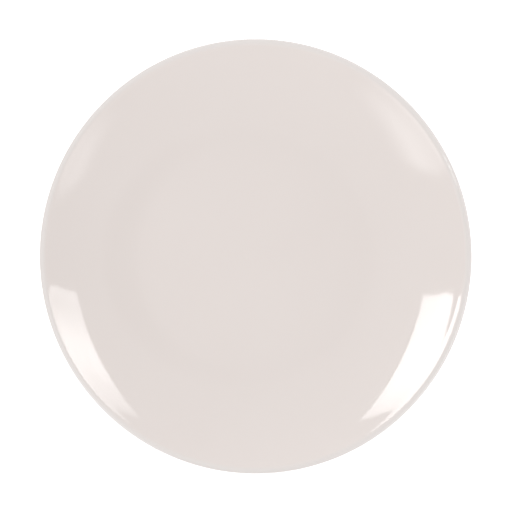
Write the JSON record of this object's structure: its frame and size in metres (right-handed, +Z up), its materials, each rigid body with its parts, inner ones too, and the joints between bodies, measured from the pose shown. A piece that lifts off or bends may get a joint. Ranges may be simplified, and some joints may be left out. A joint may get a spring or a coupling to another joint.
{
  "type": "dessert plate",
  "caption": "Round coupe dessert plate in glazed clay: flat floor, smooth curved wall, soft rounded lip and an unglazed foot ring to stand on.",
  "frame": {"origin": "centre of the circle that the foot ring's face rests on", "axes": "+Z up through the middle of the plate; the plate is round, so +X and +Y are alike"},
  "size_m": [0.2, 0.2, 0.02],
  "materials": {
    "fired_clay": "matte",
    "off_white_glaze": "gloss"
  },
  "bodies": {
    "root": {"clay_body": "fired_clay", "outer_glaze": "off_white_glaze", "base_glaze": "off_white_glaze"}
  },
  "joints": []
}
